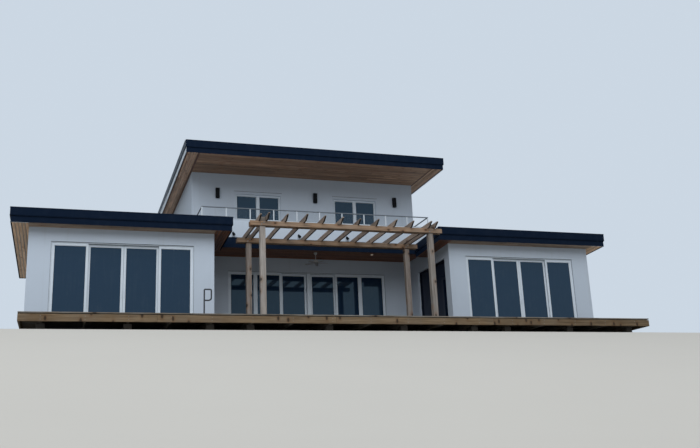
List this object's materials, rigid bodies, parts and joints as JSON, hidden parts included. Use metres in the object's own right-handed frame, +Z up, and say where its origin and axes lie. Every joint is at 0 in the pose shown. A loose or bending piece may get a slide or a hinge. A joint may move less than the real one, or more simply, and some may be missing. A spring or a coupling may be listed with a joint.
{
  "type": "beach house",
  "caption": "Two-storey beach house with white rendered walls, dark stepped fascias, sliding glass doors, balcony, pergola and timber deck.",
  "frame": {"origin": "centre of the footprint at ground level", "axes": "+X to the right seen from the deck side, -Y out of the front, +Z up"},
  "size_m": [18.43, 13.58, 6.61],
  "materials": {
    "deck_timber": "weathered boards",
    "concrete": "bare concrete",
    "white_render": "painted render",
    "lining_timber": "varnished boards",
    "navy_metal": "satin",
    "rail_metal": "satin",
    "clear_glass": "polished",
    "white_aluminium": "satin",
    "roof_metal": "satin",
    "dark_aluminium": "satin",
    "fan_metal": "satin",
    "pergola_timber": "treated pine",
    "black_metal": "satin",
    "light_lens": "frosted"
  },
  "bodies": {
    "house": {"deck_boards": "deck_timber", "deck_rim": "deck_timber", "deck_joists": "deck_timber", "deck_piers": "concrete", "floor_slab": "concrete", "door_plinths": "white_render", "front_walls": "white_render", "door_heads": "white_render", "outer_walls": "white_render", "rear_walls": "white_render", "inner_walls": "white_render", "side_door_heads": "white_render", "rear_side_walls": "white_render", "upper_floor": "concrete", "porch_ceiling": "lining_timber", "balcony_fascia": "navy_metal", "balcony_parapet": "white_render", "balcony_rail": "rail_metal", "balcony_glass": "clear_glass", "upper_front_wall": "white_render", "upper_side_walls": "white_render", "upper_rear_wall": "white_render", "window_frames": "white_aluminium", "window_glass": "clear_glass", "wing_roofs": "roof_metal", "wing_fascia_top": "navy_metal", "wing_fascia_lower": "navy_metal", "wing_eaves": "lining_timber", "upper_roof": "roof_metal", "upper_fascia_top": "navy_metal", "upper_fascia_lower": "navy_metal", "upper_eaves": "lining_timber", "door_frames": "white_aluminium", "fixed_glass": "clear_glass", "side_doors": "dark_aluminium", "side_door_glass": "clear_glass", "fan_mount": "fan_metal", "pergola_posts": "pergola_timber", "pergola_beams": "pergola_timber", "pergola_rafters": "pergola_timber", "deck_handrail": "black_metal", "wall_lights": "black_metal", "ceiling_lights": "light_lens"},
    "left_leaf_outer": {"left_leaf_outer": "white_aluminium", "left_leaf_outer_glass": "clear_glass"},
    "left_leaf_inner": {"left_leaf_inner": "white_aluminium", "left_leaf_inner_glass": "clear_glass"},
    "centre_leaf_left": {"centre_leaf_left": "white_aluminium", "centre_leaf_left_glass": "clear_glass"},
    "centre_leaf_right": {"centre_leaf_right": "white_aluminium", "centre_leaf_right_glass": "clear_glass"},
    "right_leaf_inner": {"right_leaf_inner": "white_aluminium", "right_leaf_inner_glass": "clear_glass"},
    "right_leaf_outer": {"right_leaf_outer": "white_aluminium", "right_leaf_outer_glass": "clear_glass"},
    "fan": {"fan_rotor": "fan_metal"}
  },
  "joints": [
    {"name": "left_leaf_outer_slide", "type": "slide", "parent": "house", "child": "left_leaf_outer", "axis": [1, 0, 0], "range_m": [-0.9, 0]},
    {"name": "left_leaf_inner_slide", "type": "slide", "parent": "house", "child": "left_leaf_inner", "axis": [1, 0, 0], "range_m": [0, 0.9]},
    {"name": "centre_leaf_left_slide", "type": "slide", "parent": "house", "child": "centre_leaf_left", "axis": [1, 0, 0], "range_m": [-0.85, 0]},
    {"name": "centre_leaf_right_slide", "type": "slide", "parent": "house", "child": "centre_leaf_right", "axis": [1, 0, 0], "range_m": [0, 0.85]},
    {"name": "right_leaf_inner_slide", "type": "slide", "parent": "house", "child": "right_leaf_inner", "axis": [1, 0, 0], "range_m": [-0.9, 0]},
    {"name": "right_leaf_outer_slide", "type": "slide", "parent": "house", "child": "right_leaf_outer", "axis": [1, 0, 0], "range_m": [0, 0.9]},
    {"name": "fan_spin", "type": "hinge", "parent": "house", "child": "fan", "pos_m": [0.03, -1.65, 3.04], "axis": [0, 0, 1], "continuous": true}
  ]
}
